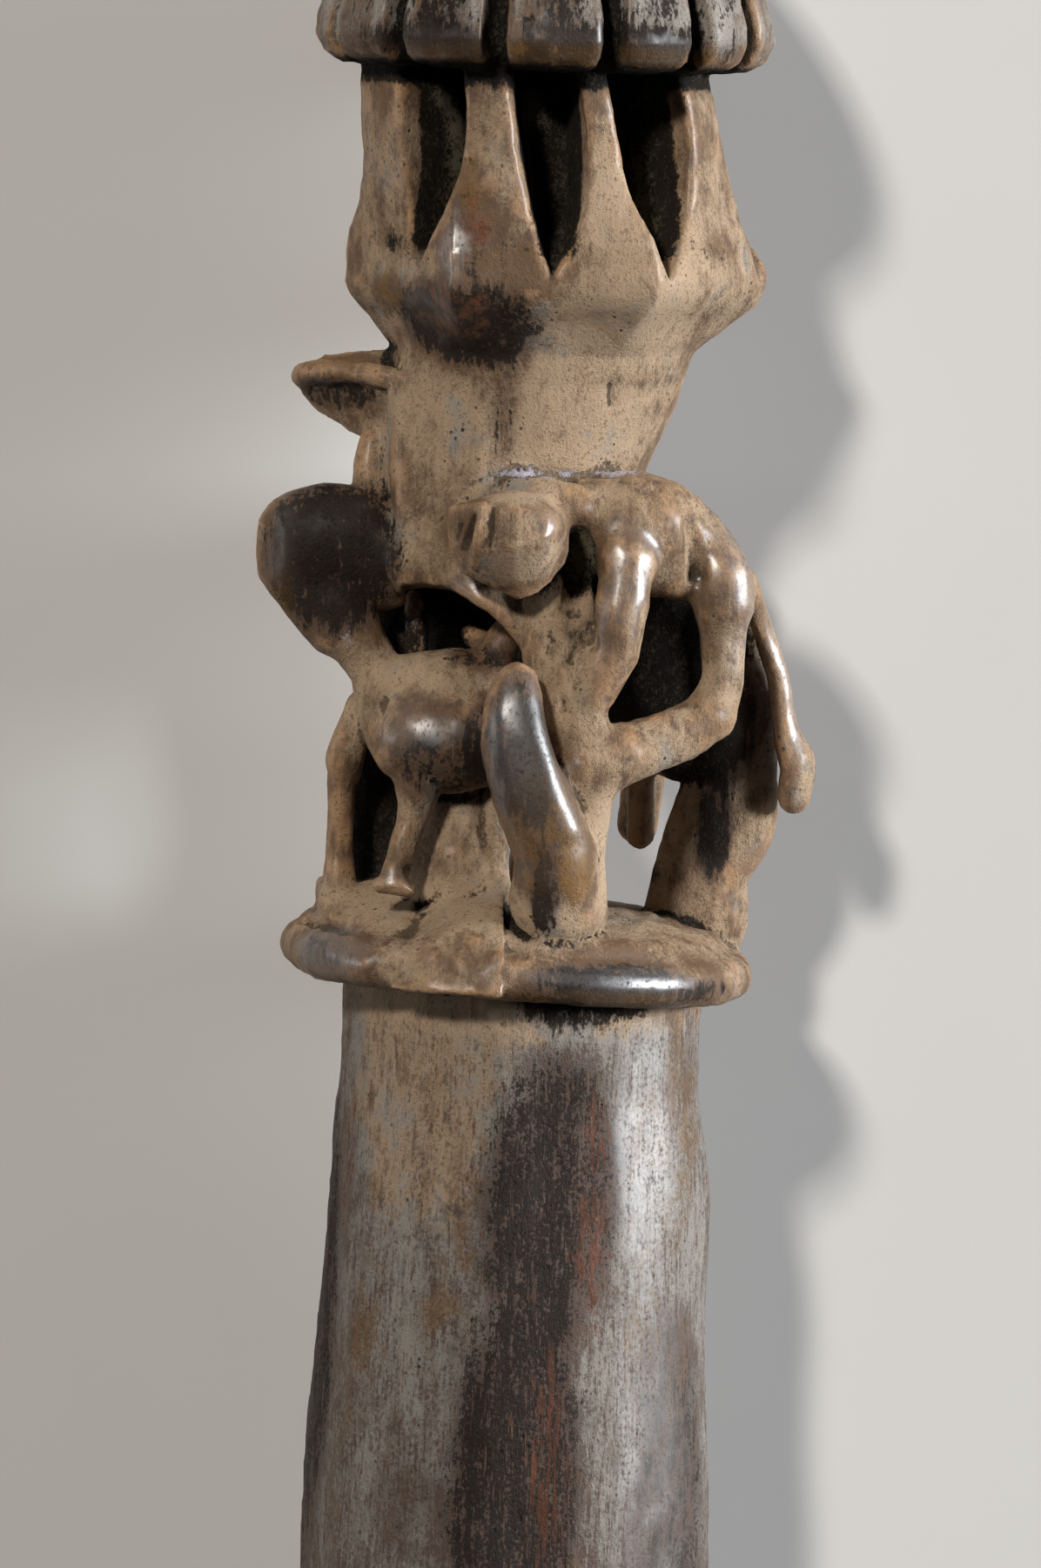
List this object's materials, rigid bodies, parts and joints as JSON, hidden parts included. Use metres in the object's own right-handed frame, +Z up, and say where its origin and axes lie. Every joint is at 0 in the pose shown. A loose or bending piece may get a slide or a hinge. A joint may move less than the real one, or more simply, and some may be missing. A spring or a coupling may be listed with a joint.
{
  "type": "ceremonial staff",
  "caption": "Long hand-held wooden staff: tapering shaft, round platform with carved animals in openwork, a lantern of posts and a fluted domed cap.",
  "frame": {"origin": "middle of the underside of the box around the staff as it lies", "axes": "+Y along the staff towards its head, +Z up out of the carved front, +X to the right of someone who looks down on the front with the head away from them"},
  "size_m": [0.0466, 0.965, 0.0375],
  "materials": {
    "hardwood": "old hand-carved hardwood with a dusty brown patina, dark recesses and hand-polished high spots"
  },
  "bodies": {
    "root": {"staff": "hardwood"}
  },
  "joints": []
}
